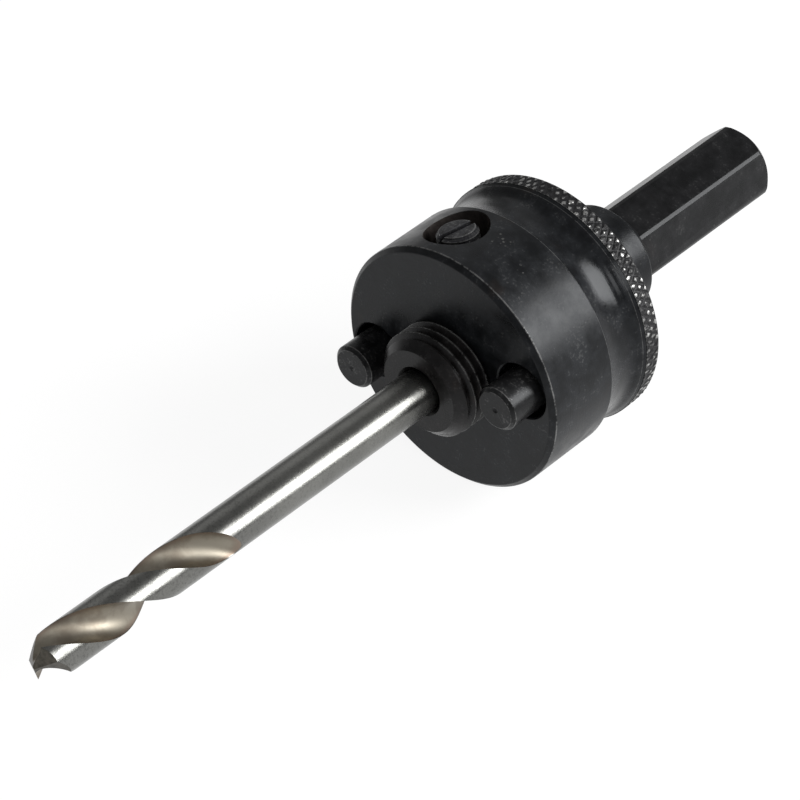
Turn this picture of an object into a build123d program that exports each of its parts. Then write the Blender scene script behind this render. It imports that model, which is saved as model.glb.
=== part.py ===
from build123d import *
import os
from math import asin, cos, degrees, pi, radians, sin, tan

os.makedirs("parts", exist_ok=True)

# A quick-release hole saw arbor lying on its side. Its axis runs along Y with the drill's
# tip towards -Y, and the origin is the centre of the face that the saw seats on. Heights h
# count along the axis from that face, positive towards the tip. Millimetres throughout.

# Roll at which the tool has come to rest: the screw recess stands this far from straight up
roll = 15.5

# Pilot drill
drill_d = 6.35
drill_length = 102.0
tip_h = 77.1
point_angle = 135.0
point_cut_length = 2.0
flute_count = 2
flute_lead = 36.5
flute_r = 2.56
flute_full_h = 50.5
flute_runout = 7.2
flute_bearing = -44.8
flute_half_angle = 50.0
flute_steps = 36
web = 1.2
lip_relief = 18.1
heel_relief = 49.5
heel_lean = 7.4
heel_start = 0.24
drill_end_chamfer = 0.4

# Threaded nose that the saw screws onto
nose_d = 15.875
nose_length = 6.0
nose_chamfer = 1.7
bore_clearance = 0.06
bore_mouth = 0.55
bore_spare = 1.1
bore_point_angle = 118.0

# Body: the flange behind the saw, the round boss and the hexagonal shank
body_d = 37.1
body_length = 12.5
body_front_edge = 0.7
body_rear_edge = 0.25
boss_d = 16.2
boss_length = 21.2
boss_chamfer = 1.6
hex_af = 11.11
hex_side_count = 6
hex_turn = 30.0
hex_land_d = 12.5
shank_end_h = -64.0
shank_chamfer = 1.3

# Drive pins, carried by the collar and passing through the body
pin_d = 6.5
pin_inset = 5.2
pin_reach = 5.3
pin_edge = 0.5
pin_seat_depth = 4.0
pin_mark_d = 0.9
pin_mark_depth = 0.3
pin_mark_angle = 50.0
pin_count = 2
pass_hole_d = 8.3
pass_hole_edge = 0.2
bevel_angle = 45.0

# Sliding collar with its finger groove and the band that carries the knurl
collar_gap = 0.1
collar_clearance = 0.05
collar_length = 9.8
band_step = 0.05
cove_front_depth = 0.7
cove_rear_depth = 0.5
cove_sag = 0.65
cove_length = 6.25
band_front_edge = 0.35
band_rear_edge = 0.4
pocket_clearance = 0.55
spring_pocket_depth = 5.4

# Return spring, its washer and the ring that holds them on the boss
spring_wire = 0.9
spring_clearance = 0.4
spring_turns = 3.2
spring_steps = 24
spring_closing = 0.6
spring_play = 0.02
washer_lip = 0.1
washer_thickness = 0.8
ring_thickness = 1.0
ring_gap_angle = 70.0
ring_groove_depth = 0.6
ring_play = 0.05
ring_h = -27.5

# Clamp screw and the recess it stands in
screw_d = 6.0
screw_h = -6.95
screw_sink = 0.3
screw_edge = 0.35
screw_clearance = 0.05
screw_play = 0.03
slot_width = 1.2
slot_depth = 1.6
slot_skew = -12.0
recess_d = 9.5
recess_depth = 7.55

drill_r = drill_d / 2
nose_r = nose_d / 2
body_r = body_d / 2
boss_r = boss_d / 2
spring_mean_r = boss_r + spring_clearance + spring_wire / 2
spring_outer_r = spring_mean_r + spring_wire / 2
pocket_r = spring_outer_r + pocket_clearance
washer_r = spring_outer_r + washer_lip
ring_r = washer_r
band_r = body_r - band_step
cove_front_r = band_r - cove_front_depth
cove_rear_r = band_r - cove_rear_depth
pin_ring_r = body_r - pin_inset
screw_top_r = body_r - screw_sink
recess_floor_r = body_r - recess_depth
boss_end_h = -body_length - boss_length
collar_front_h = -body_length - collar_gap
collar_rear_h = collar_front_h - collar_length
cove_end_h = collar_front_h - cove_length
pocket_floor_h = collar_rear_h + spring_pocket_depth
washer_h = ring_h + ring_play + washer_thickness
drill_end_h = tip_h - drill_length
bore_end_h = drill_end_h - bore_spare

# Directions across the axis: side points along the line of the pins, up along the screw
side = Vector(cos(radians(roll)), 0, sin(radians(roll)))
up = Vector(-sin(radians(roll)), 0, cos(radians(roll)))


def section(h):
    """Plane across the axis at height h, facing the tip, with the screw along its Y."""
    return Plane(origin=(0, -h, 0), x_dir=side, z_dir=(0, -1, 0))


# Plane through the axis for turned profiles: local X is the radius, local Y the height h
turning = Plane(origin=(0, 0, 0), x_dir=side, z_dir=-up)

# Plane seen along the screw from outside: its local Y runs towards the tip
screw_seat = Plane(origin=up * recess_floor_r, x_dir=-side, z_dir=up)


# Hexagonal shank: corners turned down to narrow lands, end chamfered all round
with BuildPart() as shank:
    with BuildSketch(section(shank_end_h)):
        RegularPolygon(hex_af / 2, hex_side_count, major_radius=False, rotation=hex_turn)
    extrude(amount=boss_end_h - shank_end_h)
    with BuildSketch(turning):
        with BuildLine():
            Polyline(
                (0, shank_end_h),
                (hex_land_d / 2 - shank_chamfer, shank_end_h),
                (hex_land_d / 2, shank_end_h + shank_chamfer),
                (hex_land_d / 2, boss_end_h),
                (0, boss_end_h),
                close=True,
            )
        make_face()
    revolve(axis=Axis.Y, mode=Mode.INTERSECT)

# Arbor body: nose, flange and boss are turned in one with the shank
with BuildPart() as arbor_body:
    with BuildSketch(turning):
        with BuildLine():
            Polyline(
                (0, nose_length),
                (nose_r - nose_chamfer, nose_length),
                (nose_r, nose_length - nose_chamfer),
                (nose_r, 0),
                (body_r - body_front_edge, 0),
                (body_r, -body_front_edge),
                (body_r, -body_length + body_rear_edge),
                (body_r - body_rear_edge, -body_length),
                (boss_r, -body_length),
                (boss_r, boss_end_h),
                (boss_r - boss_chamfer, boss_end_h - boss_chamfer),
                (0, boss_end_h - boss_chamfer),
                close=True,
            )
        make_face()
    revolve(axis=Axis.Y)
    add(shank.part)
    # blind bore for the drill, with a countersunk mouth
    with BuildSketch(turning):
        with BuildLine():
            Polyline(
                (0, nose_length),
                (drill_r + bore_clearance + bore_mouth, nose_length),
                (drill_r + bore_clearance, nose_length - bore_mouth),
                (drill_r + bore_clearance, bore_end_h),
                (0, bore_end_h - (drill_r + bore_clearance) / tan(radians(bore_point_angle / 2))),
                close=True,
            )
        make_face()
    revolve(axis=Axis.Y, mode=Mode.SUBTRACT)
    # holes that the drive pins pass through
    with BuildSketch(section(0)):
        with PolarLocations(pin_ring_r, pin_count):
            Circle(pass_hole_d / 2)
    extrude(amount=-body_length, mode=Mode.SUBTRACT)
    with BuildSketch(section(0)):
        with PolarLocations(pin_ring_r, pin_count):
            Circle(pass_hole_d / 2 + pass_hole_edge)
    extrude(amount=-pass_hole_edge, taper=bevel_angle, mode=Mode.SUBTRACT)
    # recess and tapped hole for the clamp screw
    with BuildSketch(screw_seat):
        with Locations((0, screw_h)):
            Circle(recess_d / 2)
    extrude(amount=body_r, mode=Mode.SUBTRACT)
    with BuildSketch(screw_seat):
        with Locations((0, screw_h)):
            Circle(screw_d / 2 + screw_clearance)
    extrude(amount=-recess_floor_r, mode=Mode.SUBTRACT)
    # groove for the retaining ring
    with BuildSketch(section(ring_h + ring_play)):
        Circle(boss_r)
        Circle(boss_r - ring_groove_depth, mode=Mode.SUBTRACT)
    extrude(amount=-ring_thickness - 2 * ring_play, mode=Mode.SUBTRACT)
arbor_body.part.label = "arbor_body"
export_step(arbor_body.part, "parts/arbor_body.step")

# Drive collar: it slides on the boss, and its pocket holds the spring from behind
with BuildPart() as drive_collar:
    with BuildSketch(turning):
        with BuildLine():
            Polyline(
                (cove_rear_r, cove_end_h),
                (band_r - band_front_edge / 2, cove_end_h),
                (band_r, cove_end_h - band_front_edge),
                (band_r, collar_rear_h + band_rear_edge),
                (band_r - band_rear_edge, collar_rear_h),
                (pocket_r, collar_rear_h),
                (pocket_r, pocket_floor_h),
                (boss_r + collar_clearance, pocket_floor_h),
                (boss_r + collar_clearance, collar_front_h),
                (cove_front_r, collar_front_h),
            )
            ThreePointArc(
                (cove_front_r, collar_front_h),
                ((cove_front_r + cove_rear_r) / 2 - cove_sag, collar_front_h - cove_length / 2),
                (cove_rear_r, cove_end_h),
            )
        make_face()
    revolve(axis=Axis.Y)
    # seats that the pins are pressed into
    with BuildSketch(section(collar_front_h)):
        with PolarLocations(pin_ring_r, pin_count):
            Circle(pin_d / 2)
    extrude(amount=-pin_seat_depth, mode=Mode.SUBTRACT)
drive_collar.part.label = "drive_collar"
export_step(drive_collar.part, "parts/drive_collar.step")

# Drive pins, each with a bevelled end and a centre mark in its face
for number in range(pin_count):
    bearing = 360 * number / pin_count
    pin_axis = side * cos(radians(bearing)) + up * sin(radians(bearing))
    foot = pin_axis * pin_ring_r + Vector(0, -(collar_front_h - pin_seat_depth), 0)
    with BuildPart() as drive_pin:
        with BuildSketch(Plane(origin=foot, x_dir=side, z_dir=(0, -1, 0))):
            Circle(pin_d / 2)
        extrude(amount=pin_reach - collar_front_h + pin_seat_depth)
        chamfer(drive_pin.edges().group_by(Axis.Y)[0], length=pin_edge)
        face_centre = foot + Vector(0, -(pin_reach - collar_front_h + pin_seat_depth), 0)
        with BuildSketch(Plane(origin=face_centre, x_dir=side, z_dir=(0, -1, 0))):
            Circle(pin_mark_d / 2)
        extrude(amount=-pin_mark_depth, taper=pin_mark_angle, mode=Mode.SUBTRACT)
    drive_pin.part.label = f"drive_pin_{number + 1}"
    export_step(drive_pin.part, f"parts/drive_pin_{number + 1}.step")

# Return spring: it pushes the collar forward from the washer, its end turns wound closer
with BuildPart() as collar_spring:
    coil_start_h = washer_h + spring_wire / 2 + spring_play
    coil_height = pocket_floor_h - washer_h - spring_wire - 2 * spring_play
    with BuildLine() as coil:
        points = []
        for step in range(spring_steps + 1):
            share = step / spring_steps
            turn = 2 * pi * spring_turns * share
            h = coil_start_h + coil_height * (share - spring_closing * sin(2 * pi * share) / (2 * pi))
            points.append((side * cos(turn) + up * sin(turn)) * spring_mean_r + Vector(0, -h, 0))
        Spline(*points)
    with BuildSketch(Plane(origin=coil.line @ 0, z_dir=coil.line % 0)):
        Circle(spring_wire / 2)
    sweep(path=coil.line)
collar_spring.part.label = "collar_spring"
export_step(collar_spring.part, "parts/collar_spring.step")

# Flat washer between the spring and the ring
with BuildPart() as spring_washer:
    with BuildSketch(section(washer_h)):
        Circle(washer_r)
        Circle(boss_r + collar_clearance, mode=Mode.SUBTRACT)
    extrude(amount=-washer_thickness)
spring_washer.part.label = "spring_washer"
export_step(spring_washer.part, "parts/spring_washer.step")

# Open retaining ring, snapped into the groove of the boss
with BuildPart() as retaining_ring:
    with BuildSketch(section(ring_h)):
        Circle(ring_r)
        Circle(boss_r - ring_groove_depth, mode=Mode.SUBTRACT)
        gap_reach = 2 * ring_r * cos(radians(ring_gap_angle / 2))
        gap_half_width = 2 * ring_r * sin(radians(ring_gap_angle / 2))
        with BuildLine():
            Polyline((0, 0), (gap_half_width, -gap_reach), (-gap_half_width, -gap_reach), close=True)
        make_face(mode=Mode.SUBTRACT)
    extrude(amount=-ring_thickness)
retaining_ring.part.label = "retaining_ring"
export_step(retaining_ring.part, "parts/retaining_ring.step")

# Slotted clamp screw that bears on the drill
with BuildPart() as set_screw:
    screw_foot_r = drill_r + screw_play
    screw_length = screw_top_r - screw_foot_r
    with BuildSketch(Plane(origin=up * screw_foot_r, x_dir=-side, z_dir=up)):
        with Locations((0, screw_h)):
            Circle(screw_d / 2)
    extrude(amount=screw_length)
    chamfer(set_screw.edges().filter_by(GeomType.CIRCLE), length=screw_edge)
    with BuildSketch(Plane(origin=up * screw_top_r, x_dir=-side, z_dir=up)):
        with Locations((0, screw_h)):
            Rectangle(slot_width, 2 * screw_d, rotation=slot_skew)
    extrude(amount=-slot_depth, mode=Mode.SUBTRACT)
set_screw.part.label = "set_screw"
export_step(set_screw.part, "parts/set_screw.step")

# Pilot drill: two right-hand flutes run out of the body, and the point is ground in four facets
with BuildPart() as pilot_drill:
    with BuildSketch(section(drill_end_h)):
        Circle(drill_r)
    extrude(amount=drill_length)
    chamfer(pilot_drill.edges().group_by(Axis.Y)[-1], length=drill_end_chamfer)
    # the cutter's centre follows a helix, and lifts out of the work towards the shank
    cutter_r = web / 2 + flute_r
    lift = drill_r + flute_r - cutter_r
    route_start_h = flute_full_h - flute_runout * 1.1
    route_end_h = tip_h + point_cut_length
    for number in range(flute_count):
        with BuildLine() as route:
            points = []
            for step in range(flute_steps + 1):
                h = route_start_h + (route_end_h - route_start_h) * step / flute_steps
                turns = (h - flute_full_h) / flute_lead + number / flute_count
                turn = radians(flute_bearing + 360 * turns)
                reach = cutter_r + lift * (max(flute_full_h - h, 0) / flute_runout) ** 2
                points.append((up * cos(turn) - side * sin(turn)) * reach + Vector(0, -h, 0))
            Spline(*points)
        with BuildSketch(Plane(origin=route.line @ 0, z_dir=route.line % 0)):
            Circle(flute_r)
        sweep(path=route.line, mode=Mode.SUBTRACT)
    # each lip has a relieved facet behind it and a steeper one at the heel
    point_height = drill_r / tan(radians(point_angle / 2))
    corner_turn = flute_bearing + 360 * (tip_h - point_height - flute_full_h) / flute_lead - flute_half_angle
    lip_turn = corner_turn - degrees(asin(web / drill_d))
    for number in range(flute_count):
        turn = radians(lip_turn + 360 * number / flute_count)
        along_lip = up * cos(turn) - side * sin(turn)
        behind_lip = up * sin(turn) + side * cos(turn)
        forward = Vector(0, -1, 0)
        slope = forward + along_lip / tan(radians(point_angle / 2))
        lip_point = forward * tip_h - behind_lip * (web / 2)
        heel_point = lip_point + behind_lip * (web / 2 + heel_start) - forward * (
            (web / 2 + heel_start) * tan(radians(lip_relief))
        )
        heel_fall = behind_lip * cos(radians(heel_lean)) - along_lip * sin(radians(heel_lean))
        lip_facet = Plane(origin=lip_point, z_dir=slope + behind_lip * tan(radians(lip_relief)))
        heel_facet = Plane(origin=heel_point, z_dir=forward + heel_fall * tan(radians(heel_relief)))
        split(bisect_by=lip_facet, keep=Keep.BOTTOM)
        split(bisect_by=heel_facet, keep=Keep.BOTTOM)
pilot_drill.part.label = "pilot_drill"
export_step(pilot_drill.part, "parts/pilot_drill.step")
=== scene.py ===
from math import asin, atan2, cos, pi, radians, sin, sqrt, tan

import bmesh
import bpy
from mathutils import Matrix, Vector


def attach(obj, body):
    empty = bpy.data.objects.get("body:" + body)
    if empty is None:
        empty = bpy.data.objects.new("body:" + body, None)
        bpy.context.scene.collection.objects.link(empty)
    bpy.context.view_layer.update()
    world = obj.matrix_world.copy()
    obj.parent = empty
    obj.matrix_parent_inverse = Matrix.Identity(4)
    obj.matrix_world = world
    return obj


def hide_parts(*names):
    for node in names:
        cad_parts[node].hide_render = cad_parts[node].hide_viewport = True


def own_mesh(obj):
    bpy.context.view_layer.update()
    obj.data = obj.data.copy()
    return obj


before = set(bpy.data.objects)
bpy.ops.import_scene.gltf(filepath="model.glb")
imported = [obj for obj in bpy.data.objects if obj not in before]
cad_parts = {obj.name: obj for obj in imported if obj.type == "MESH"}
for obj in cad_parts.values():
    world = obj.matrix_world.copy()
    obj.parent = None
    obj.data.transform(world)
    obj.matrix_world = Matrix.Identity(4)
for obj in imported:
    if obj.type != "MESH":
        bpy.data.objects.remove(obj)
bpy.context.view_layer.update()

# Arbor body: flange and boss, turned from one steel bar together with the nose and the shank,
# drilled through for the two drive pins, then milled and tapped on its side for the clamp screw.
# Heights run along the tool's axis from the face that the saw seats on, towards the drill's tip.
MM = 0.001
roll = radians(15.5)
side = Vector((cos(roll), 0, sin(roll)))
up = Vector((-sin(roll), 0, cos(roll)))
body_radius = 18.55
body_rear = -12.5
front_chamfer, rear_chamfer = 0.7, 0.25
boss_radius = 8.1
boss_end = -33.7
boss_chamfer = 1.6
ring_groove_radius = 7.5
ring_groove_front, ring_groove_rear = -27.45, -28.55
nose_foot = -0.6
bore_radius = 3.235
bore_end = -26.0
bore_cone = 1.94
pin_circle = 13.35
pass_radius = 4.15
screw_behind = 6.95
recess_radius = 4.65
recess_floor = 11.0
tapped_radius = 3.05


def on_tool(height, radius=0.0, angle=0.0):
    """The point at this height and radius, turned by angle from the clamp screw's side."""
    return ((up * cos(angle) - side * sin(angle)) * radius + Vector((0, -height, 0))) * MM


def eased(outline, size):
    """A turned outline with its corners broken by a small radius, held by a point on each side."""
    eased_outline = []
    for number, corner in enumerate(outline):
        here = Vector(corner)
        if number in (0, len(outline) - 1):
            eased_outline.append(here)
            continue
        before, after = Vector(outline[number - 1]) - here, Vector(outline[number + 1]) - here
        reach = min(size, before.length * 0.3, after.length * 0.3)
        start, end = here + before.normalized() * reach, here + after.normalized() * reach
        eased_outline.append(here + before.normalized() * reach * 1.4)
        for step in range(5):
            t = step / 4
            eased_outline.append(start * (1 - t) ** 2 + here * 2 * t * (1 - t) + end * t ** 2)
        eased_outline.append(here + after.normalized() * reach * 1.4)
    return eased_outline


def turned(outline, steps=192, place=on_tool):
    """A shape turned from (radius, height) points."""
    shape = bmesh.new()
    rings = []
    for radius, height in outline:
        if radius < 1e-5:
            rings.append([shape.verts.new(place(height))] * steps)
        else:
            rings.append([shape.verts.new(place(height, radius, 2 * pi * i / steps))
                          for i in range(steps)])
    for near, far in zip(rings, rings[1:]):
        for i in range(steps):
            j = (i + 1) % steps
            corners = list(dict.fromkeys((near[i], near[j], far[j], far[i])))
            if len(corners) > 2:
                shape.faces.new(corners)
    bmesh.ops.remove_doubles(shape, verts=shape.verts, dist=1e-8)
    bmesh.ops.recalc_face_normals(shape, faces=shape.faces)
    return shape


def finished(name, shape, crease=32):
    """The shape as an object, shaded smooth except at edges sharper than crease degrees."""
    mesh = bpy.data.meshes.new(name)
    shape.to_mesh(mesh)
    shape.free()
    mesh.shade_smooth()
    mesh.set_sharp_from_angle(angle=radians(crease))
    item = bpy.data.objects.new(name, mesh)
    bpy.context.scene.collection.objects.link(item)
    return item


def plain_mesh(item, crease=32):
    """Puts the object's modifiers into its mesh."""
    graph = bpy.context.evaluated_depsgraph_get()
    mesh = bpy.data.meshes.new_from_object(item.evaluated_get(graph))
    item.modifiers.clear()
    item.data = mesh
    mesh.name = item.name
    mesh.shade_smooth()
    mesh.set_sharp_from_angle(angle=radians(crease))
    return item


def cut(item, cutters):
    """Machines the cutters' shapes out of the item."""
    tools = [finished("cutter", cutter) for cutter in cutters]
    for tool in tools:
        modifier = item.modifiers.new("cut", "BOOLEAN")
        modifier.operation = "DIFFERENCE"
        modifier.solver = "MANIFOLD"
        modifier.object = tool
    plain_mesh(item)
    for tool in tools:
        bpy.data.objects.remove(tool)
    return item


def dressed(item, material):
    """Gives the whole item one material."""
    item.data.materials.clear()
    item.data.materials.append(material)
    item.data.polygons.foreach_set("material_index", [0] * len(item.data.polygons))
    return item


def pin_place(turn):
    """Placing for a shape turned about a pin's line, which runs beside the tool's axis."""
    centre = side * cos(turn) * pin_circle + up * sin(turn) * pin_circle
    return lambda height, radius=0.0, angle=0.0: on_tool(height, radius, angle) + centre * MM


def screw_place(radius_out, radius=0.0, angle=0.0):
    """Placing for a shape turned about the clamp screw's line; heights run outwards along it."""
    across = side * cos(angle) + Vector((0, -1, 0)) * sin(angle)
    return (up * radius_out + across * radius + Vector((0, screw_behind, 0))) * MM


class Reading:
    """A socket of a node tree that takes part in sums, so that node maths reads as maths."""

    def __init__(self, tree, socket=None):
        self.tree = tree
        self.socket = socket

    def node(self, kind, settings=(), inputs=(), output=0):
        """A new node with these settings and inputs; gives one of its outputs, or all for None."""
        made = self.tree.nodes.new(kind)
        for key, value in dict(settings).items():
            setattr(made, key, value)
        for key, value in dict(inputs).items():
            if isinstance(value, Reading):
                self.tree.links.new(value.socket, made.inputs[key])
            else:
                made.inputs[key].default_value = value
        if output is None:
            return [Reading(self.tree, socket) for socket in made.outputs]
        return Reading(self.tree, made.outputs[output])

    def sum(self, operation, *others):
        values = dict(enumerate((self, *others)))
        return self.node("ShaderNodeMath", {"operation": operation}, values)

    def __add__(self, other):
        return self.sum("ADD", other)

    def __sub__(self, other):
        return self.sum("SUBTRACT", other)

    def __mul__(self, other):
        return self.sum("MULTIPLY", other)

    def __truediv__(self, other):
        return self.sum("DIVIDE", other)

    def __rsub__(self, other):
        return self * -1 + other

    __radd__ = __add__
    __rmul__ = __mul__

    def within(self, low, high):
        """0 below low and 1 above high, smooth between."""
        return self.node("ShaderNodeMapRange", {"interpolation_type": "SMOOTHSTEP"},
                         {"Value": self, "From Min": low, "From Max": high})

    def least(self, other):
        return self.sum("MINIMUM", other)

    def most(self, other):
        return self.sum("MAXIMUM", other)

    def blend(self, low, high):
        """Colour low where this reads 0 and colour high where it reads 1."""
        low, high = (end if isinstance(end, Reading) else (*end, 1) for end in (low, high))
        return self.node("ShaderNodeMix", {"data_type": "RGBA"}, {0: self, 6: low, 7: high}, 2)


def steel(name):
    """A new material, a start for its nodes, its shader and a reading of each place on it."""
    material = bpy.data.materials.new(name)
    material.use_nodes = True
    start = Reading(material.node_tree)
    place = start.node("ShaderNodeTexCoord", output="Object")
    return material, start, material.node_tree.nodes["Principled BSDF"], place


def radius_and_height(start, place, circle=0.0, on_screw=False):
    """Readings of radius and height on the tool, on a pin of this circle or on the screw."""
    x, y, z = start.node("ShaderNodeSeparateXYZ", {}, {0: place}, None)
    sideways = (x * side.x + z * side.z).sum("ABSOLUTE") - circle * MM
    upwards = x * up.x + z * up.z
    across = y - screw_behind * MM if on_screw else upwards
    radius = (sideways * sideways + across * across).sum("SQRT") * 1000
    return radius, upwards * 1000 if on_screw else y * -1000


def grain(start, place, scale, detail=2.0, roughness=0.5):
    return start.node("ShaderNodeTexNoise", {}, {"Vector": place, "Scale": scale, "Detail": detail,
                                                 "Roughness": roughness})


def turning_marks(start, along, detail):
    """The fine rings that a lathe or a grinder leaves, along this reading."""
    return start.node("ShaderNodeTexNoise", {"noise_dimensions": "1D"},
                      {"W": along, "Scale": 1.0, "Detail": detail})


def distance_to(start, place, height, radius, degrees_round, reach):
    """How many times its reach a place lies from this spot on the tool."""
    spot = on_tool(height, radius, radians(degrees_round))
    away = start.node("ShaderNodeVectorMath", {"operation": "DISTANCE"}, {0: place, 1: spot}, 1)
    return away / (reach * MM)


def feed(shader, reading, socket):
    shader.id_data.links.new(reading.socket, shader.inputs[socket])


def roughen(start, shader, relief, strength, depth=0.03):
    """Lets the relief catch the light, with its depth in millimetres."""
    bump = start.node("ShaderNodeBump", {},
                      {"Strength": strength, "Distance": depth * MM, "Height": relief})
    feed(shader, bump, "Normal")


def tone(colour, strength):
    """The colour made lighter or darker."""
    return [part * strength for part in colour]


bare_steel = (0.3, 0.3, 0.295)
rust_brown = (0.030, 0.019, 0.013)
pit_grey = (0.11, 0.11, 0.105)


def blackened(name, base=(0.0095, 0.0102, 0.0115), mark=1.0, worn=(), pitted=(), nicks=(),
              crest=0.0, gloss=0.0, mottle=1.0, scuffs=0.15, bloom=0.3, circle=0.0,
              on_screw=False):
    """Black oxide steel: turning marks, cloudy sheen, pits, rust bloom and rubbed edges.

    worn lists edges as (radius, height, width, wear); pitted and nicks list spots as
    (height, radius, degrees round, reach); crest is the radius of a thread's rubbed crests.
    """
    material, start, shader, place = steel(name)
    radius, height = radius_and_height(start, place, circle, on_screw)
    cloud = grain(start, place, 330, 6, 0.62)
    patch = grain(start, place, 120, 3, 0.5)
    fine = grain(start, place, 2600, 4, 0.65)
    lathe = turning_marks(start, (height + radius) * 6.0, 2.0)
    speck = start.node("ShaderNodeTexVoronoi", {}, {"Vector": place, "Scale": 1500.0})
    crowd = grain(start, place, 230, 1).within(0.62, 0.68) * 0.22
    for spot in pitted:
        away = distance_to(start, place, *spot)
        crowd = crowd.most((1 - (away + cloud * 1.2).within(0.9, 1.7)) * fine.within(0.35, 0.6))
    speck = (1 - speck.within(0.12, 0.34)) * crowd
    rubbed = (cloud * 0.5 + fine * 0.6 + scuffs * 0.07).within(0.62, 0.72) * scuffs
    broken = (cloud * 0.7 + fine * 0.5).within(0.46, 0.7)
    for edge_radius, edge_height, width, wear in worn:
        away = ((radius - edge_radius) * (radius - edge_radius)
                + (height - edge_height) * (height - edge_height)).sum("SQRT")
        rubbed = rubbed.most((1 - away.within(width * 0.5, width)) * broken * wear)
    for spot in nicks:
        away = distance_to(start, place, *spot)
        rubbed = rubbed.most(1 - (away + fine * 0.5).within(0.6, 1.1))
    if crest:
        rubbed = rubbed.most(radius.within(crest - 0.08, crest - 0.01) * broken * 0.8)
    rust = grain(start, place, 150, 2, 0.5).within(0.62, 0.74) * bloom
    colour = cloud.within(0.35, 0.65).blend(tone(base, 0.6), tone(base, 1.5))
    colour = rust.blend(colour, rust_brown)
    colour = (rubbed * 0.7).blend(colour, bare_steel)
    colour = speck.blend(colour, pit_grey)
    feed(shader, colour, "Base Color")
    feed(shader, rubbed.most(speck * 0.5) * 0.85, "Metallic")
    dull = patch * 0.2 + cloud.within(0.35, 0.65) * 0.12
    feed(shader, 0.33 - gloss + (dull - 0.16) * mottle + fine * 0.04, "Roughness")
    relief = lathe * 0.5 * mark + fine * 0.6 + cloud * 0.9 * mottle - speck * 2.5
    roughen(start, shader, relief, 0.38, 0.04)
    shader.inputs["IOR"].default_value = 1.27
    shader.inputs["Specular Tint"].default_value = (0.95, 0.975, 1.0, 1)
    return material


body_steel = blackened(
    "blackened_body",
    worn=((body_radius, -front_chamfer, 0.14, 0.8),
          (body_radius, body_rear + rear_chamfer, 0.1, 0.35)),
    pitted=((-8.3, body_radius, -21, 2.0), (-6.6, body_radius, -37, 1.3)))
flange_outline = [
    (bore_radius + 0.5, 0.0), (body_radius - front_chamfer, 0.0), (body_radius, -front_chamfer),
    (body_radius, body_rear + rear_chamfer), (body_radius - rear_chamfer, body_rear),
    (boss_radius, body_rear), (boss_radius, ring_groove_front),
    (ring_groove_radius, ring_groove_front), (ring_groove_radius, ring_groove_rear),
    (boss_radius, ring_groove_rear), (boss_radius, boss_end),
    (boss_radius - boss_chamfer, boss_end - boss_chamfer), (0.0, boss_end - boss_chamfer),
]
flange = finished("arbor_flange", turned([(0.0, 0.0)] + eased(flange_outline, 0.12)[1:], 288))
bore = [(0.0, 1.0), (bore_radius, 1.0), (bore_radius, bore_end), (0.0, bore_end - bore_cone)]
recess = [(0.0, recess_floor), (recess_radius, recess_floor), (recess_radius, 20.0), (0.0, 20.0)]
tapping = [(0.0, 2.0), (tapped_radius, 2.0), (tapped_radius, recess_floor + 0.5),
           (0.0, recess_floor + 0.5)]
pass_hole = [(0.0, 0.5), (pass_radius + 0.2, 0.5), (pass_radius + 0.2, 0.0), (pass_radius, -0.2),
             (pass_radius, body_rear - 0.5), (0.0, body_rear - 0.5)]
cut(flange, [
    turned(bore, 96),
    turned(pass_hole, 96, pin_place(0)),
    turned(pass_hole, 96, pin_place(pi)),
    turned(recess, 128, screw_place),
    turned(tapping, 96, screw_place),
])
dressed(flange, body_steel)
recess_steel = blackened("blackened_recess", (0.036, 0.031, 0.029), mark=0.3, bloom=0.8)
flange.data.materials.append(recess_steel)
for face in flange.data.polygons:
    out = face.center.dot(up)
    off_line = face.center - up * out - Vector((0, screw_behind * MM, 0))
    inward = abs(face.normal.dot(up)) < 0.1 or out < (recess_floor + 0.05) * MM
    if inward and off_line.length < (recess_radius + 0.05) * MM and out > (recess_floor - 0.1) * MM:
        face.material_index = 1
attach(flange, "arbor")
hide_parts("arbor_body")

# Threaded nose: the turned end of the arbor body, with a fine right-hand thread that the saw
# screws onto, a chamfer to lead it in and a countersunk mouth to the bore. Cut on the lathe.
nose_radius = 7.9375
nose_end = 6.0
nose_chamfer = 1.7
nose_thread_depth = 0.86
nose_pitch = 25.4 / 18
bore_mouth = 0.55


def named_tree(name, inputs):
    """An empty geometry tree with these named number inputs; gives it and their readings."""
    tree = bpy.data.node_groups.new(name, "GeometryNodeTree")
    for label in inputs:
        tree.interface.new_socket(label, in_out="INPUT", socket_type="NodeSocketFloat")
    tree.interface.new_socket("Geometry", in_out="OUTPUT", socket_type="NodeSocketGeometry")
    return tree, dict(zip(inputs, Reading(tree).node("NodeGroupInput", output=None)))


def rows_and_columns(start, rows, columns):
    """A grid mesh, with readings of each point's column and row."""
    grid = start.node("GeometryNodeMeshGrid", {}, {"Size X": columns - 1.0, "Size Y": rows - 1.0,
                                                   "Vertices X": columns, "Vertices Y": rows})
    place = start.node("GeometryNodeInputPosition")
    column, row = start.node("ShaderNodeSeparateXYZ", {}, {0: place}, None)[:2]
    return grid, column + (columns - 1) / 2, row + (rows - 1) / 2


def wound(start, grid, radius, angle, height, tool_axis=True):
    """Wraps the grid round the tool's axis, or round the screw's, and closes its seam."""
    along = radius * angle.sum("COSINE")
    across = radius * angle.sum("SINE")
    if tool_axis:
        x = along * up.x - across * side.x
        y = height * -1
        z = along * up.z - across * side.z
    else:
        x = height * up.x + along * side.x
        y = screw_behind - across
        z = height * up.z + along * side.z
    point = start.node("ShaderNodeCombineXYZ", {}, {"X": x * MM, "Y": y * MM, "Z": z * MM})
    placed = start.node("GeometryNodeSetPosition", {}, {"Geometry": grid, "Position": point})
    return start.node("GeometryNodeMergeByDistance", {}, {"Geometry": placed, "Distance": 1e-7})


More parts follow.
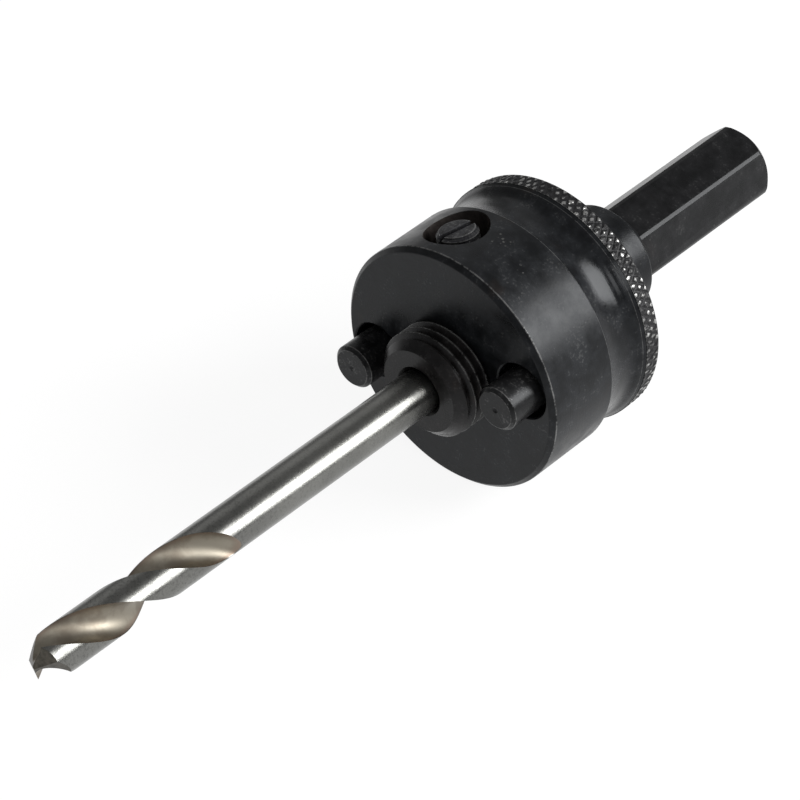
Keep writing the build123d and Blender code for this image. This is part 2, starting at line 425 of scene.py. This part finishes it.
def grown(name, tree, result, material, values):
    """An object grown by the tree with these input values, as a plain mesh."""
    start = Reading(tree)
    whole = start.node("GeometryNodeRealizeInstances", {}, {"Geometry": result})
    coloured = start.node("GeometryNodeSetMaterial", {}, {"Geometry": whole, "Material": material})
    start.node("NodeGroupOutput", {}, {0: coloured}, None)
    item = bpy.data.objects.new(name, bpy.data.meshes.new(name))
    bpy.context.scene.collection.objects.link(item)
    modifier = item.modifiers.new("grow", "NODES")
    modifier.node_group = tree
    for socket in tree.interface.items_tree:
        if socket.in_out == "INPUT":
            modifier[socket.identifier] = float(values[socket.name])
    return dressed(plain_mesh(item), material)


def by_number(number, values):
    """The value that belongs to a whole number counted from 0."""
    result = values[0]
    for step, (one, other) in enumerate(zip(values, values[1:])):
        result = number.sum("GREATER_THAN", step + 0.5) * (other - one) + result
    return result


def thread_tree(name, turns, steps, tool_axis):
    """Tree of a right-hand V thread between two heights, cut back by a chamfer at its far end."""
    along = (0.0, 0.06, 0.12, 0.28, 0.44, 0.56, 0.69, 0.845)
    depth = (0.0, 0.0, 0.0, 0.5, 1.0, 1.04, 1.0, 0.5)
    tree, size = named_tree(
        name, ["Radius", "Depth", "Pitch", "From", "To", "Chamfer", "End radius"])
    start = Reading(tree)
    rows = len(along) * (turns + 2) + 3
    grid, column, row = rows_and_columns(start, rows, steps + 1)
    turn = column / steps
    whole = (row / len(along) + 1e-4).sum("FLOOR")
    number = row - whole * len(along)
    travel = (whole + by_number(number, along) + turn - 1) * size["Pitch"] + size["From"]
    height = travel.most(size["From"]).least(size["To"])
    crest = size["Radius"] - by_number(number, depth) * size["Depth"]
    lead_in = size["Radius"] - (height - size["To"] + size["Chamfer"]).most(0.0)
    buried = travel.sum("LESS_THAN", size["From"] + 1e-5)
    root = (size["Radius"] - size["Depth"]).least(lead_in)
    radius = crest.least(lead_in) * (1 - buried) + root * buried
    ends = (row.sum("LESS_THAN", 0.5) + row.sum("GREATER_THAN", rows - 1.5)).least(1.0)
    radius = radius * (1 - ends) + radius.least(size["End radius"]) * ends
    return tree, wound(start, grid, radius, turn * 2 * pi, height, tool_axis)


nose_steel = blackened("blackened_nose", (0.0115, 0.0105, 0.0105), mark=0.4, crest=nose_radius,
                       gloss=0.05, scuffs=0.1, bloom=0.6)
tree, thread = thread_tree("nose_thread", turns=5, steps=144, tool_axis=True)
nose = grown("arbor_nose", tree, thread, nose_steel, {
    "Radius": nose_radius, "Depth": nose_thread_depth, "Pitch": nose_pitch, "From": nose_foot,
    "To": nose_end, "Chamfer": nose_chamfer, "End radius": nose_radius})
shape = bmesh.new()
shape.from_mesh(nose.data)
inside = eased([
    (nose_radius - nose_chamfer, nose_end), (bore_radius + bore_mouth, nose_end),
    (bore_radius, nose_end - bore_mouth), (bore_radius, nose_foot),
    (nose_radius - nose_thread_depth, nose_foot),
], 0.05)
bore_wall = turned(inside, 144)
lining = bpy.data.meshes.new("lining")
bore_wall.to_mesh(lining)
bore_wall.free()
shape.from_mesh(lining)
bmesh.ops.remove_doubles(shape, verts=shape.verts, dist=2e-6)
bmesh.ops.recalc_face_normals(shape, faces=shape.faces)
shape.to_mesh(nose.data)
shape.free()
nose.data.shade_smooth()
nose.data.set_sharp_from_angle(angle=radians(34))
dressed(nose, nose_steel)
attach(nose, "arbor")
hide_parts("arbor_body")

# Hexagonal shank: the rear end of the arbor body, for a three-jaw chuck. Its six flats are
# milled, its corners are turned down to narrow lands, and its end is chamfered all round.
shank_end = -64.0
across_flats = 11.11
land_radius = 6.25
shank_chamfer = 1.3
mill_cut, mill_length, mill_width = 8, 60, 20
shank = finished("arbor_shank", turned(eased([
    (0.0, boss_end + 0.5), (land_radius, boss_end + 0.5), (land_radius, shank_end + shank_chamfer),
    (land_radius - shank_chamfer, shank_end), (0.0, shank_end)], 0.25), 360))
along = Vector((0, 1, 0))
flats = []
for number in range(6):
    turn = number * pi / 3 + radians(30)
    outward = up * cos(turn) - side * sin(turn)
    flat = bmesh.new()
    bmesh.ops.create_cube(flat, size=1.0)
    frame_of_flat = Matrix((outward, along, outward.cross(along))).transposed().to_4x4()
    middle = (outward * (across_flats + mill_cut) / 2 + along * mill_length) * MM
    size = Matrix.Diagonal((mill_cut * MM, mill_length * MM, mill_width * MM, 1))
    flat.transform(Matrix.Translation(middle) @ frame_of_flat @ size)
    bmesh.ops.recalc_face_normals(flat, faces=flat.faces)
    flats.append(flat)
cut(shank, flats)
shank_steel = blackened("blackened_shank", (0.007, 0.007, 0.0075), mark=0.1, gloss=0.06,
                        mottle=0.35, scuffs=0.1, bloom=0.1)
dressed(shank, shank_steel)
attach(shank, "arbor")
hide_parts("arbor_body")

# Drive collar: a turned ring that slides on the boss and is pulled back by its finger groove
# and its knurled band. Its rear pocket takes the spring. Blackened like the body.
collar_front = -12.6
collar_rear = -22.4
cove_front_radius, cove_rear_radius = 17.8, 18.0
cove_length, cove_depth = 6.25, 0.65
rim_edge_radius, rim_edge = 18.2, -19.24
band_radius = 18.5
band_front = -19.75
under_band_radius = 18.05
pocket_radius, pocket_floor = 9.95, -17.0
sliding_radius = 8.15
cove = []
for step in range(25):
    t = step / 24
    sag = (1 - abs(2 * t ** 1.35 - 1) ** 2.8) * cove_depth
    edge_radius = cove_front_radius + (cove_rear_radius - cove_front_radius) * t
    cove.append((edge_radius - sag, collar_front - cove_length * t))
collar_outline = cove + [
    (rim_edge_radius - 0.04, rim_edge + 0.04), (rim_edge_radius, rim_edge),
    (rim_edge_radius + 0.02, rim_edge - 0.08), (band_radius - 0.06, band_front),
    (under_band_radius, band_front - 0.1), (under_band_radius, collar_rear + 0.1),
    (under_band_radius - 0.15, collar_rear), (pocket_radius, collar_rear),
    (pocket_radius, pocket_floor), (sliding_radius, pocket_floor), (sliding_radius, collar_front),
    cove[0],
]
smooth_cove = [Vector(point) for point in cove[:-1]]
collar = finished("drive_collar_turned",
                  turned(smooth_cove + eased(collar_outline[len(cove) - 1:], 0.07), 288))
collar_steel = blackened("blackened_collar", worn=((rim_edge_radius, rim_edge, 0.07, 0.4),),
                         nicks=((-18.8, 18.2, -59.9, 0.3),), gloss=0.125, mottle=0.75)
dressed(collar, collar_steel)
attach(collar, "collar")
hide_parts("drive_collar")

# Knurled band: a diamond knurl rolled into the collar's rim for grip, its points rubbed bright
# by handling. It is part of the collar's one piece of steel.
knurl_count = 92
knurl_depth = 0.2
knurl_pitch = 1.9
knurl_phase = 0.263
knurl_black = (0.011, 0.011, 0.012)
knurl_bright = (0.42, 0.42, 0.41)


def knurl_tree(count, samples, rows):
    """Tree of a band with two crossing sets of grooves, closed on its inside."""
    tree, size = named_tree(
        "diamond_knurl", ["Radius", "Depth", "Inside", "Front", "Rear", "Pitch", "Groove"])
    start = Reading(tree)
    grid, column, row = rows_and_columns(start, rows + 4, count * samples + 1)
    turn = column / (count * samples)
    share = ((row - 1) / rows).most(0.0).least(1.0)
    height = size["Front"] + (size["Rear"] - size["Front"]) * share
    last = row.sum("GREATER_THAN", rows + 2.5)
    height = height * (1 - last) + size["Front"] * last
    run = (size["Front"] - height) / size["Pitch"] + knurl_phase
    around = turn * count
    groove = None
    for lean in (run, run * -1):
        away = ((around + lean + 40.5).sum("FRACT") - 0.5).sum("ABSOLUTE")
        spot = start.node("ShaderNodeCombineXYZ", {}, {"X": around * 1.3, "Y": run * 2.1})
        ragged = start.node("ShaderNodeTexNoise", {"noise_dimensions": "2D"},
                            {"Vector": spot, "Scale": 1.0, "Detail": 1.0})
        one = (1 - away / (size["Groove"] + ragged * 0.8 - 0.4)).most(0.0)
        groove = one if groove is None else groove.most(one)
    to_rear = height - size["Rear"]
    groove = groove * (size["Front"] - height).within(0.0, 0.22) * to_rear.within(0.05, 0.3)
    rim = (to_rear * 0.5 - 0.15).least(0.0)
    outer = size["Radius"] - groove * size["Depth"] + rim
    ends = (row.sum("LESS_THAN", 0.5) + row.sum("GREATER_THAN", rows + 1.5)).least(1.0)
    radius = outer * (1 - ends) + size["Inside"] * ends
    return tree, wound(start, grid, radius, turn * 2 * pi, height)


def rubbed_points(name):
    """Blackened steel whose high points shine through, by their distance from the axis."""
    material, start, shader, place = steel(name)
    radius = radius_and_height(start, place)[0]
    fine = grain(start, place, 1500, 3, 0.6)
    spread = grain(start, place, 420, 3, 0.6)
    high = radius.within(band_radius - 0.08, band_radius - 0.02)
    high = high * (fine * 0.4 + spread * 0.7).within(0.48, 0.66)
    feed(shader, high.blend(knurl_black, knurl_bright), "Base Color")
    feed(shader, high * 0.95, "Metallic")
    feed(shader, 0.34 + fine * 0.14 - high * 0.16, "Roughness")
    roughen(start, shader, fine, 0.3)
    shader.inputs["IOR"].default_value = 1.3
    return material


tree, band = knurl_tree(knurl_count, samples=10, rows=28)
knurl = grown("drive_collar_knurl", tree, band, rubbed_points("blackened_knurl"), {
    "Radius": band_radius, "Depth": knurl_depth, "Inside": 18.0, "Front": band_front,
    "Rear": collar_rear, "Pitch": knurl_pitch, "Groove": 0.4})
knurl.data.set_sharp_from_angle(angle=radians(20))
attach(knurl, "collar")
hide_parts("drive_collar")

# Drive pins: two hardened pins pressed into the collar. They pass through the flange and reach
# into the saw's back plate. Each has a bevelled end and a lathe centre in its face.
pin_radius = 3.25
pin_reach, pin_rear = 5.3, -16.6
pin_bevel = 0.5
pin_steel = blackened(
    "blackened_pin", (0.012, 0.012, 0.0125), mark=0.6,
    worn=((pin_radius, pin_reach - pin_bevel, 0.1, 0.7),
          (pin_radius - pin_bevel, pin_reach, 0.075, 0.6)),
    gloss=0.03, scuffs=0.35, bloom=0.1, circle=pin_circle)
pin_outline = [(0.0, pin_reach - 0.3), (0.45, pin_reach), (pin_radius - pin_bevel, pin_reach),
               (pin_radius, pin_reach - pin_bevel), (pin_radius, pin_rear), (0.0, pin_rear)]
for number, turn in enumerate((0, pi)):
    pin = finished(f"drive_pin_{number + 1}_turned",
                   turned(eased(pin_outline, 0.08), 96, pin_place(turn)))
    dressed(pin, pin_steel)
    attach(pin, "collar")
    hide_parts(f"drive_pin_{number + 1}")

# Return spring, washer and retaining ring: round wire wound on the boss, pressing the collar
# forward from a stamped washer, which an open ring in the boss's groove holds.
washer_front = -26.65
washer_radius = 9.5
wire_radius = 0.45
wire_sides = 16
coil_radius = 8.95
coil_turns = 3.2
coil_gap = 0.02
coil_start = washer_front + wire_radius + coil_gap
coil_height = pocket_floor - washer_front - 2 * (wire_radius + coil_gap)
ring_front, ring_rear = -27.5, -28.5
ring_opening = 70


def oiled(name, base, roughness):
    """Dark spring steel under a thin film of oil."""
    material, start, shader, place = steel(name)
    fine = grain(start, place, 500, 4, 0.6)
    feed(shader, fine.within(0.3, 0.7).blend(tone(base, 0.7), tone(base, 1.4)), "Base Color")
    feed(shader, roughness + fine * 0.15, "Roughness")
    roughen(start, shader, fine, 0.15)
    shader.inputs["Metallic"].default_value = 0.85
    return material


def skinned(shape, rings):
    """Joins rings of points into a closed skin with flat ends."""
    for near, far in zip(rings, rings[1:]):
        for i in range(len(near)):
            j = (i + 1) % len(near)
            shape.faces.new((near[i], near[j], far[j], far[i]))
    shape.faces.new(rings[0])
    shape.faces.new(rings[-1])


spring_steel = oiled("oiled_spring_steel", (0.16, 0.16, 0.165), 0.28)
washer_steel = oiled("stamped_washer_steel", (0.34, 0.34, 0.34), 0.34)
wire = bmesh.new()
rings = []
for step in range(257):
    share = step / 256
    turn = 2 * pi * coil_turns * share
    height = coil_start + coil_height * (share - 0.6 * sin(2 * pi * share) / (2 * pi))
    outward = side * cos(turn) + up * sin(turn)
    points = []
    for number in range(wire_sides):
        a = 2 * pi * number / wire_sides
        points.append(outward * (coil_radius + wire_radius * cos(a))
                      - Vector((0, height + wire_radius * sin(a), 0)))
    rings.append([wire.verts.new(point * MM) for point in points])
skinned(wire, rings)
bmesh.ops.recalc_face_normals(wire, faces=wire.faces)
spring = finished("collar_spring_wound", wire, crease=50)
dressed(spring, spring_steel)
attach(spring, "arbor")
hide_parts("collar_spring")
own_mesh(spring)
washer_outline = [
    (sliding_radius, washer_front), (washer_radius, washer_front),
    (washer_radius, ring_groove_front), (sliding_radius, ring_groove_front),
    (sliding_radius, washer_front),
]
washer = finished("spring_washer_stamped", turned(eased(washer_outline, 0.12), 144))
dressed(washer, washer_steel)
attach(washer, "arbor")
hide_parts("spring_washer")
ring = bmesh.new()
section = [(ring_groove_radius, ring_front), (washer_radius, ring_front),
           (washer_radius, ring_rear), (ring_groove_radius, ring_rear)]
stations = []
for step in range(97):
    turn = radians(180 + ring_opening / 2) + radians(360 - ring_opening) * step / 96
    stations.append([ring.verts.new(on_tool(height, radius, turn)) for radius, height in section])
skinned(ring, stations)
bmesh.ops.recalc_face_normals(ring, faces=ring.faces)
clip = finished("retaining_ring_open", ring)
bevel = clip.modifiers.new("edges", "BEVEL")
bevel.width = 0.08 * MM
bevel.segments = 2
plain_mesh(clip)
dressed(clip, spring_steel)
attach(clip, "arbor")
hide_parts("retaining_ring")

# Clamp screw: a slotted screw in the tapped hole at the bottom of the recess. It bears on the
# drill's shank. Turned, threaded all along, with its slot sawn a little askew to the tool.
screw_top = 18.25
screw_foot = 3.3
screw_radius = 2.98
screw_chamfer = 0.45
screw_steel = blackened("blackened_screw", (0.020, 0.020, 0.022), mark=0.5,
                        worn=((2.55, screw_top, 0.16, 0.7),), crest=screw_radius, gloss=0.06,
                        scuffs=0.5, bloom=0.0, on_screw=True)
tree, thread = thread_tree("clamp_screw_thread", turns=20, steps=72, tool_axis=False)
screw = grown("set_screw_threaded", tree, thread, screw_steel, {
    "Radius": screw_radius, "Depth": 0.42, "Pitch": 0.75, "From": screw_foot, "To": screw_top,
    "Chamfer": screw_chamfer, "End radius": 0.0})
shape = bmesh.new()
shape.from_mesh(screw.data)
bmesh.ops.holes_fill(shape, edges=[edge for edge in shape.edges if edge.is_boundary])
bmesh.ops.recalc_face_normals(shape, faces=shape.faces)
shape.to_mesh(screw.data)
shape.free()
slot_turn = radians(-14)
slot_width, slot_depth = 1.05, 3.2
slot_along = Vector((0, -1, 0)) * cos(slot_turn) + side * sin(slot_turn)
slot_frame = Matrix((slot_along.cross(up), slot_along, up)).transposed().to_4x4()
slot_place = Matrix.Translation(screw_place(screw_top)) @ slot_frame
saw_cuts = []
for depth, spread in ((slot_depth, 1.0), (0.3, 1.4)):
    saw_cut = bmesh.new()
    bmesh.ops.create_cube(saw_cut, size=1.0)
    for corner in saw_cut.verts:
        if corner.co.z > 0:
            corner.co.x *= spread
    saw_cut.transform(slot_place @ Matrix.Diagonal((slot_width * MM, 12 * MM, depth * MM, 1)))
    bmesh.ops.recalc_face_normals(saw_cut, faces=saw_cut.faces)
    saw_cuts.append(saw_cut)
dressed(cut(screw, saw_cuts), screw_steel)
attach(screw, "screw")
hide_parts("set_screw")

# Pilot drill: a ground twist drill. Two right-hand flutes run out of its body towards the
# shank, straw coloured from the heat of grinding, and its point has relieved flanks.
drill_radius = 3.175
tip = 77.1
drill_end = -24.9
flute_lead = 36.5
flute_radius = 2.77
flute_full = 50.5
flute_runout = 7.2
flute_bearing = radians(-44.8)
half_web = 0.6
point_slope = 1 / tan(radians(67.5))
lip_relief, heel_relief = tan(radians(18.1)), tan(radians(49.5))
lip_after_flute = radians(50)
heel_behind_lip = 0.24
heel_lean = radians(7.4)
section_gap = 0.25
bright_dark, bright_pale = (0.165, 0.165, 0.157), (0.205, 0.205, 0.194)
fleck_grey = (0.10, 0.10, 0.095)
straw_pale, straw_dark = (0.235, 0.19, 0.152), (0.16, 0.122, 0.10)
deep_pale, deep_dark = (0.265, 0.242, 0.198), (0.20, 0.175, 0.14)
point_pale, point_dark = (0.085, 0.078, 0.066), (0.05, 0.047, 0.04)


def flute_turn(height):
    return flute_bearing + 2 * pi * (height - flute_full) / flute_lead


def drill_section(height):
    """Points round the drill at this height, with both flutes cut in."""
    cutter = half_web + flute_radius
    cutter += (drill_radius - half_web) * (max(flute_full - height, 0) / flute_runout) ** 2
    span = (drill_radius ** 2 + cutter ** 2 - flute_radius ** 2) / (2 * drill_radius * cutter)
    half = atan2(sqrt(max(1 - span * span, 0)), span) if span < 1 else 0.0
    points = []
    for number in range(2):
        middle = flute_turn(height) + number * pi
        sweep_half = atan2(drill_radius * sin(half), cutter - drill_radius * cos(half))
        for step in range(25):
            t = -1 + 2 * step / 24
            if half:
                inner = sweep_half * t
                along = cutter - flute_radius * cos(inner)
                across = flute_radius * sin(inner)
                points.append((sqrt(along ** 2 + across ** 2), middle + atan2(across, along)))
            else:
                points.append((drill_radius, middle))
        for step in range(1, 24):
            t = step / 24
            points.append((drill_radius, middle + half + (pi - 2 * half) * t))
    return [on_tool(height, radius, angle) for radius, angle in points]


drill = bmesh.new()
heights = [flute_full - flute_runout - 0.2 + section_gap * step for step in range(145)]
rings = [[drill.verts.new(point) for point in drill_section(height)]
         for height in heights if height <= tip + 1]
end_rings = [(drill_radius, 40.0), (drill_radius, 10.0), (drill_radius, drill_end + 0.4),
             (drill_radius - 0.4, drill_end)]
tail = []
first = drill_section(heights[0])
for radius, height in end_rings:
    ring_points = []
    for point in first:
        across = Vector((point.x, 0, point.z)).normalized() * radius * MM
        ring_points.append(drill.verts.new(across + Vector((0, -height * MM, 0))))
    tail.append(ring_points)
skinned(drill, tail[::-1] + rings)
bmesh.ops.remove_doubles(drill, verts=drill.verts, dist=1e-7)
bmesh.ops.recalc_face_normals(drill, faces=drill.faces)
forward = Vector((0, -1, 0))
web_turn = asin(half_web / drill_radius)
lip_turn = flute_turn(tip - drill_radius * point_slope) - lip_after_flute - web_turn
for number in range(2):
    turn = lip_turn + number * pi
    along_lip = up * cos(turn) - side * sin(turn)
    behind_lip = up * sin(turn) + side * cos(turn)
    lip_point = forward * tip - behind_lip * half_web
    lip_facet = forward + along_lip * point_slope + behind_lip * lip_relief
    heel_point = lip_point + (behind_lip - forward * lip_relief) * (half_web + heel_behind_lip)
    heel_facet = forward + (behind_lip * cos(heel_lean) - along_lip * sin(heel_lean)) * heel_relief
    for point, facet in ((lip_point, lip_facet), (heel_point, heel_facet)):
        whole = drill.verts[:] + drill.edges[:] + drill.faces[:]
        ground = bmesh.ops.bisect_plane(drill, geom=whole, plane_co=point * MM, plane_no=facet,
                                        clear_outer=True, dist=1e-8)
        rim = [piece for piece in ground["geom_cut"] if isinstance(piece, bmesh.types.BMEdge)]
        filled = bmesh.ops.holes_fill(drill, edges=rim)
        for face in filled["faces"]:
            face.material_index = 1
bit = finished("pilot_drill_ground", drill, crease=28)


def point_ground(name):
    """Dull ground steel, a little browned by heat."""
    material, start, shader, place = steel(name)
    stroke = grain(start, place, 1800, 4, 0.6)
    feed(shader, stroke.within(0.3, 0.7).blend(point_pale, point_dark), "Base Color")
    feed(shader, 0.3 + stroke * 0.15, "Roughness")
    roughen(start, shader, stroke, 0.2)
    shader.inputs["Metallic"].default_value = 1.0
    return material


def ground_steel(name):
    """Bright ground steel with fine marks round it; the flutes are coloured by heat."""
    material, start, shader, place = steel(name)
    radius, height = radius_and_height(start, place)
    fine = grain(start, place, 420, 4, 0.6)
    cloud = grain(start, place, 120, 3, 0.5)
    rings_round = turning_marks(start, height * 9.0, 3.0)
    flute = (drill_radius - radius).within(0.02, 0.12) * height.within(40.0, 42.0)
    depth = (drill_radius - radius + cloud * 0.8 - 0.4).within(0.0, 0.8)
    straw = cloud.within(0.35, 0.65).blend(straw_pale, straw_dark)
    patchy = grain(start, place, 260, 4, 0.6).within(0.4, 0.6)
    straw = depth.blend(straw, patchy.blend(deep_pale, deep_dark))
    bright = cloud.within(0.3, 0.7).blend(bright_dark, bright_pale)
    near_point = height.within(30.0, 46.0)
    fleck = grain(start, place, 3000, 3, 0.7).within(0.5, 0.62) * (0.3 + near_point * 0.3)
    bright = fleck.blend(bright, fleck_grey)
    feed(shader, flute.blend(bright, straw), "Base Color")
    feed(shader, 0.19 + fine * 0.16 + flute * (0.1 + cloud * 0.2), "Roughness")
    blasted = grain(start, place, 2200, 3, 0.7)
    roughen(start, shader, rings_round * 0.5 * (1 - flute) + fine * 0.4 + blasted, 0.3)
    shader.inputs["Metallic"].default_value = 1.0
    return material


bit.data.materials.append(ground_steel("ground_drill_steel"))
bit.data.materials.append(point_ground("ground_point_steel"))
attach(bit, "drill")
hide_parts("pilot_drill")

# Table: a wide sheet of plain pale paper that the tool lies on. It is white to the eye and in
# the steel, and keeps the tool's shadow.
table_radius, table_top = 4, -0.01858
pale = bpy.data.materials.new("pale_paper")
pale.use_nodes = True
start = Reading(pale.node_tree)
paper = pale.node_tree.nodes["Principled BSDF"]
paper.inputs["Base Color"].default_value = (0.8, 0.8, 0.8, 1)
paper.inputs["Roughness"].default_value = 1.0
seen = start.node("ShaderNodeLightPath", output="Is Camera Ray")
for ray in ("Is Glossy Ray", "Is Transmission Ray"):
    seen = seen.most(start.node("ShaderNodeLightPath", output=ray))
glow = start.node("ShaderNodeEmission", {}, {"Color": (1, 1, 1, 1), "Strength": 1.12})
lit = Reading(pale.node_tree, paper.outputs[0])
mixed = start.node("ShaderNodeMixShader", {}, {0: seen * 0.8, 1: lit, 2: glow})
pale.node_tree.links.new(mixed.socket, pale.node_tree.nodes["Material Output"].inputs[0])
table = bmesh.new()
table.faces.new([table.verts.new((table_radius * cos(a), table_radius * sin(a), table_top))
                 for a in (2 * pi * i / 96 for i in range(96))])
bench = finished("bench", table)
dressed(bench, pale)

# Studio: dim surroundings and three soft boxes, set as the tool's highlights show: a large one on
# the right, a faint one behind, and a small one between the first and the camera, which stands
# at the photograph's angle.
world = bpy.data.worlds.new("studio")
bpy.context.scene.world = world
world.use_nodes = True
world.node_tree.nodes["Background"].inputs["Color"].default_value = (1, 1, 1, 1)
world.node_tree.nodes["Background"].inputs["Strength"].default_value = 0.27


def soft_box(name, azimuth, elevation, distance, width, height, power):
    lamp = bpy.data.lights.new(name, "AREA")
    lamp.shape = "RECTANGLE"
    lamp.size = width
    lamp.size_y = height
    lamp.energy = power
    item = bpy.data.objects.new(name, lamp)
    bpy.context.scene.collection.objects.link(item)
    a, e = radians(azimuth), radians(elevation)
    back = Vector((sin(a) * cos(e), -cos(a) * cos(e), sin(e)))
    item.location = back * distance
    item.rotation_mode = "QUATERNION"
    item.rotation_quaternion = (-back).to_track_quat("-Z", "Y")


soft_box("rear_box", azimuth=130, elevation=29, distance=1.2, width=0.7, height=0.64, power=16.5)
soft_box("left_box", azimuth=-135, elevation=37, distance=1.6, width=1.3, height=0.8, power=1.2)
soft_box("side_box", azimuth=78, elevation=32, distance=1.2, width=0.4, height=0.4, power=2.4)

eye = bpy.data.cameras.new("photo_view")
eye.lens = 157.71
eye.sensor_width = 36
eye.clip_start = 0.01
eye.clip_end = 20
camera = bpy.data.objects.new("photo_view", eye)
bpy.context.scene.collection.objects.link(camera)
right = Vector((0.742231, 0.670145, 0.0))
forward = Vector((-0.510981, 0.565946, -0.646995))
stand = Vector((0.238873, -0.274306, 0.303318))
camera_axes = Matrix((right, right.cross(forward), -forward)).transposed().to_4x4()
camera.matrix_world = Matrix.Translation(stand) @ camera_axes
bpy.context.scene.camera = camera
bpy.context.scene.view_settings.view_transform = "Standard"

bpy.context.view_layer.update()
